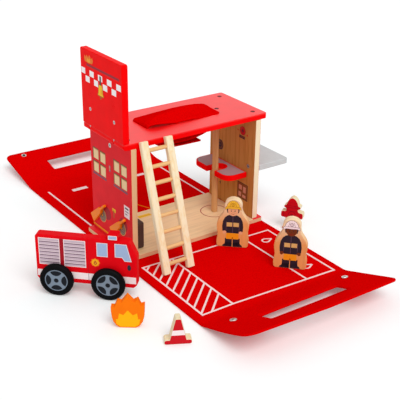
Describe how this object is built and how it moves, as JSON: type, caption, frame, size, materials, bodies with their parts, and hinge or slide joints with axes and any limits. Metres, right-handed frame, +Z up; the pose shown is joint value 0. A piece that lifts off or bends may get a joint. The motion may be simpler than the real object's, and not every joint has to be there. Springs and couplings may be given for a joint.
{
  "type": "toy fire station with play mats",
  "caption": "Wooden toy fire station that packs into a felt carry case: fold-down tower, strap handle, snap-shut play mats, ladder, fire engine, firefighters, hydrant, flame and cone.",
  "frame": {"origin": "on the floor, under the middle of the station, on the underside of the felt", "axes": "+X along the roof from the tower to the landing board, +Y from the front mat to the back mat, +Z up"},
  "size_m": [0.4401, 0.7155, 0.2985],
  "materials": {
    "felt": "matte",
    "plywood": "satin",
    "wall_red_wood": "satin",
    "pine": "satin",
    "red_wood": "gloss",
    "grey_wood": "satin",
    "dark_wood": "satin",
    "orange_wood": "satin",
    "flame_wood": "satin",
    "black_wood": "satin",
    "painted_screw": "satin",
    "steel": "satin"
  },
  "bodies": {
    "station": {"felt_floor": "felt", "base_plate": "plywood", "left_wall": "wall_red_wood", "right_wall": "pine", "roof_plate": "red_wood", "fire_pole": "pine", "inner_shelf": "red_wood", "helipad_board": "grey_wood", "locker_block": "dark_wood", "hose_nozzle_front": "orange_wood", "hose_nozzle_back": "orange_wood", "carry_handle": "felt", "roof_screw_front_left": "painted_screw", "roof_screw_back_left": "painted_screw", "roof_screw_front_right": "painted_screw", "roof_screw_back_right": "painted_screw", "roof_screw_pole": "painted_screw", "helipad_screw_front": "steel", "helipad_screw_back": "steel", "wall_screw": "steel", "tower_hinge_pin_front": "steel", "tower_hinge_pin_back": "steel"},
    "front_mat": {"front_mat": "felt"},
    "front_flap": {"front_flap": "felt", "front_snap_left": "steel", "front_snap_right": "steel"},
    "back_mat": {"back_mat": "felt"},
    "back_flap": {"back_flap": "felt", "back_snap_left": "steel", "back_snap_right": "steel"},
    "tower": {"tower_panel": "red_wood", "tower_hinge_leaf_front": "steel", "tower_hinge_leaf_back": "steel", "tower_screw_front": "steel", "tower_screw_back": "steel", "tower_plug_front": "red_wood", "tower_plug_back": "red_wood"},
    "ladder": {"ladder_left_rail": "pine", "ladder_right_rail": "pine", "ladder_rung_1": "pine", "ladder_rung_2": "pine", "ladder_rung_3": "pine", "ladder_rung_4": "pine", "ladder_rung_5": "pine", "ladder_rung_6": "pine", "ladder_rung_7": "pine", "ladder_rung_8": "pine"},
    "firefighter_yellow": {"firefighter_yellow_helmet": "pine"},
    "firefighter_white": {"firefighter_white_helmet": "pine"},
    "truck": {"truck_body": "red_wood", "truck_light_bar": "red_wood"},
    "truck_front_wheels": {"truck_front_axle": "pine", "truck_front_left_wheel": "black_wood", "truck_front_right_wheel": "black_wood"},
    "truck_rear_wheels": {"truck_rear_axle": "pine", "truck_rear_left_wheel": "black_wood", "truck_rear_right_wheel": "black_wood"},
    "flame": {"flame": "flame_wood"},
    "traffic_cone": {"traffic_cone": "red_wood"},
    "hydrant": {"hydrant": "pine"}
  },
  "joints": [
    {"name": "front_mat_fold", "type": "hinge", "parent": "station", "child": "front_mat", "pos_m": [0, -0.0623, 0.003], "axis": [-1, 0, 0], "range_deg": [0, 90], "deforming": ["carry_handle"]},
    {"name": "back_mat_fold", "type": "hinge", "parent": "station", "child": "back_mat", "pos_m": [0, 0.0623, 0.003], "axis": [1, 0, 0], "range_deg": [0, 90]},
    {"name": "front_flap_fold", "type": "hinge", "parent": "front_mat", "child": "front_flap", "pos_m": [0, -0.2526, 0.003], "axis": [-1, 0, 0], "range_deg": [-14.9, 71]},
    {"name": "back_flap_fold", "type": "hinge", "parent": "back_mat", "child": "back_flap", "pos_m": [0, 0.2581, 0.003], "axis": [1, 0, 0], "range_deg": [-11.4, 77.5]},
    {"name": "tower_fold", "type": "hinge", "parent": "station", "child": "tower", "pos_m": [-0.1221, 0, 0.1813], "axis": [0, -1, 0], "range_deg": [0, 180]},
    {"name": "ladder_lift", "type": "slide", "parent": "station", "child": "ladder", "axis": [0, 0, 1], "range_m": [0, 0.4713]},
    {"name": "firefighter_yellow_lift", "type": "slide", "parent": "station", "child": "firefighter_yellow", "axis": [0, 0, 1], "range_m": [0, 0.4713]},
    {"name": "firefighter_white_lift", "type": "slide", "parent": "station", "child": "firefighter_white", "axis": [0, 0, 1], "range_m": [0, 0.4713]},
    {"name": "truck_roll", "type": "slide", "parent": "station", "child": "truck", "axis": [-0.7169, 0.6972, 0], "range_m": [0, 0.2]},
    {"name": "truck_front_wheel_spin", "type": "hinge", "parent": "truck", "child": "truck_front_wheels", "pos_m": [-0.18713, -0.11946, 0.0235], "axis": [0.6972, 0.7169, 0], "continuous": true},
    {"name": "truck_rear_wheel_spin", "type": "hinge", "parent": "truck", "child": "truck_rear_wheels", "pos_m": [-0.2386, -0.0694, 0.0235], "axis": [0.6972, 0.7169, 0], "continuous": true},
    {"name": "flame_lift", "type": "slide", "parent": "station", "child": "flame", "axis": [0, 0, 1], "range_m": [0, 0.1]},
    {"name": "traffic_cone_lift", "type": "slide", "parent": "station", "child": "traffic_cone", "axis": [0, 0, 1], "range_m": [0, 0.1]},
    {"name": "hydrant_lift", "type": "slide", "parent": "station", "child": "hydrant", "axis": [0, 0, 1], "range_m": [0, 0.1]}
  ],
  "couplings": [
    {"joint": "back_mat_fold", "follows": "front_mat_fold", "ratio": 1},
    {"joint": "tower_fold", "follows": "front_mat_fold", "ratio": 2},
    {"joint": "ladder_lift", "follows": "front_mat_fold", "m_per_rad": 0.3},
    {"joint": "firefighter_yellow_lift", "follows": "front_mat_fold", "m_per_rad": 0.3},
    {"joint": "firefighter_white_lift", "follows": "front_mat_fold", "m_per_rad": 0.3},
    {"joint": "truck_front_wheel_spin", "follows": "truck_roll", "rad_per_m": -42.553},
    {"joint": "truck_rear_wheel_spin", "follows": "truck_roll", "rad_per_m": -42.553}
  ]
}
